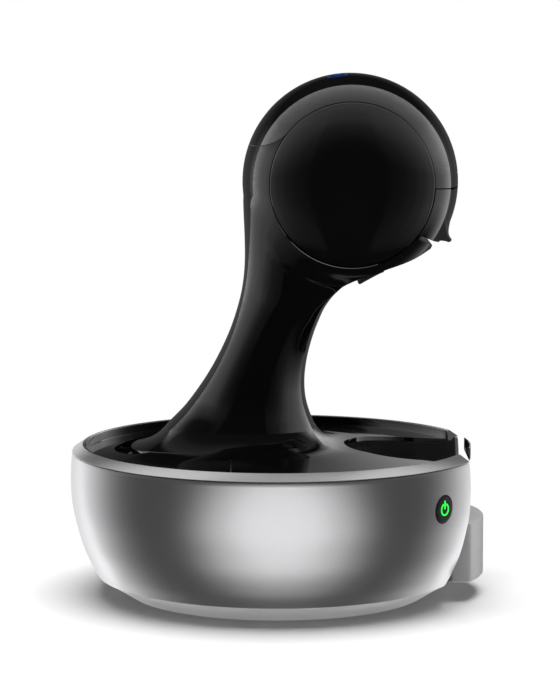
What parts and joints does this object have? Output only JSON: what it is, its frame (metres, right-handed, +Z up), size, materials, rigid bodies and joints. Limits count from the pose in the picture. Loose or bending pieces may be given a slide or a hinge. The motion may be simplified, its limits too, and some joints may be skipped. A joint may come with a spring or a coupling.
{
  "type": "pod coffee machine",
  "caption": "Pod coffee machine: drum-shaped brewing head on a waisted column, round silver base with a horseshoe water tank and a pull-out drip tray.",
  "frame": {"origin": "centre of the round base at the surface the rubber feet stand on", "axes": "+X towards the drip tray and the cup, +Y towards the machine's left as seen from its front, +Z up"},
  "size_m": [0.2536, 0.2536, 0.3185],
  "materials": {
    "satin_bowl": "satin silver lacquer",
    "light_metal": "light matt silver",
    "gloss_black": "piano black, polished",
    "black_plastic": "fine moulded texture",
    "white_plastic": "natural moulded",
    "steel": "brushed",
    "cast_heater": "as cast",
    "smoked_clear": "clear, lightly smoked",
    "rubber": "matt",
    "silicone": "translucent white",
    "board": "solder mask",
    "icon_cold": "lit blue",
    "icon_hot": "lit red",
    "icon_power": "lit green"
  },
  "bodies": {
    "frame": {"foot_ring": "light_metal", "base_plate": "black_plastic", "rubber_foot_1": "rubber", "rubber_foot_2": "rubber", "rubber_foot_3": "rubber", "rubber_foot_4": "rubber", "base_screw_1": "steel", "base_screw_2": "steel", "base_screw_3": "steel", "base_screw_4": "steel", "chassis": "black_plastic", "bowl_shell": "satin_bowl", "rim_ring": "satin_bowl", "well_liner": "black_plastic", "cord_gland": "rubber", "body_shell_left": "gloss_black", "body_shell_right": "gloss_black", "body_screw_1": "steel", "body_screw_2": "steel", "hood": "gloss_black", "side_disc_left": "gloss_black", "side_disc_right": "gloss_black", "touch_board": "board", "cold_touch_icon": "icon_cold", "hot_touch_icon": "icon_hot", "lock_handle_pin": "steel", "head_frame": "black_plastic", "tank_socket": "black_plastic", "tank_socket_seal": "silicone", "button_housing": "black_plastic", "pump": "black_plastic", "pump_mount_front": "rubber", "pump_mount_rear": "rubber", "thermoblock": "cast_heater", "thermoblock_bracket": "black_plastic", "control_board": "board", "board_posts": "black_plastic", "flow_meter": "white_plastic", "tank_line": "silicone", "suction_hose": "silicone", "pressure_hose": "silicone", "brew_tube": "silicone"},
    "handle": {"lock_handle": "gloss_black"},
    "injector": {"injector_plate": "white_plastic", "injector_needle": "steel", "injector_seal": "silicone"},
    "holder": {"capsule_holder": "gloss_black", "spout_guard": "black_plastic"},
    "tank": {"water_tank": "smoked_clear", "tank_filter": "white_plastic"},
    "lid": {"tank_lid": "gloss_black"},
    "valve": {"tank_valve": "white_plastic", "tank_valve_spring": "steel"},
    "tray": {"drip_tray": "black_plastic", "drip_tray_front": "light_metal"},
    "grid": {"drip_grid": "steel"},
    "button": {"power_button": "black_plastic", "power_icon": "icon_power", "button_spring": "steel"}
  },
  "joints": [
    {"name": "handle_hinge", "type": "hinge", "parent": "frame", "child": "handle", "pos_m": [0.1031, 0, 0.2546], "axis": [0, -1, 0], "range_deg": [0, 60]},
    {"name": "injector_slide", "type": "slide", "parent": "frame", "child": "injector", "axis": [0.4384, 0, 0.8988], "range_m": [0, 0.006]},
    {"name": "holder_slide", "type": "slide", "parent": "frame", "child": "holder", "axis": [0.8988, 0, -0.4384], "range_m": [0, 0.05]},
    {"name": "tank_lift", "type": "slide", "parent": "frame", "child": "tank", "axis": [0, 0, 1], "range_m": [0, 0.1]},
    {"name": "lid_lift", "type": "slide", "parent": "tank", "child": "lid", "axis": [0, 0, 1], "range_m": [0, 0.04]},
    {"name": "valve_lift", "type": "slide", "parent": "tank", "child": "valve", "axis": [0, 0, 1], "range_m": [0, 0.003], "stiffness_N_per_m": 150, "springref_m": -0.002, "deforming": ["tank_valve_spring"]},
    {"name": "tray_slide", "type": "slide", "parent": "frame", "child": "tray", "axis": [1, 0, 0], "range_m": [0, 0.09]},
    {"name": "grid_lift", "type": "slide", "parent": "tray", "child": "grid", "axis": [0, 0, 1], "range_m": [0, 0.03]},
    {"name": "button_press", "type": "slide", "parent": "frame", "child": "button", "axis": [-0.7716, 0.6361, 0], "range_m": [0, 0.0015], "stiffness_N_per_m": 600, "springref_m": -0.001}
  ],
  "couplings": [
    {"joint": "injector_slide", "follows": "handle_hinge", "m_per_rad": 0.00572}
  ]
}
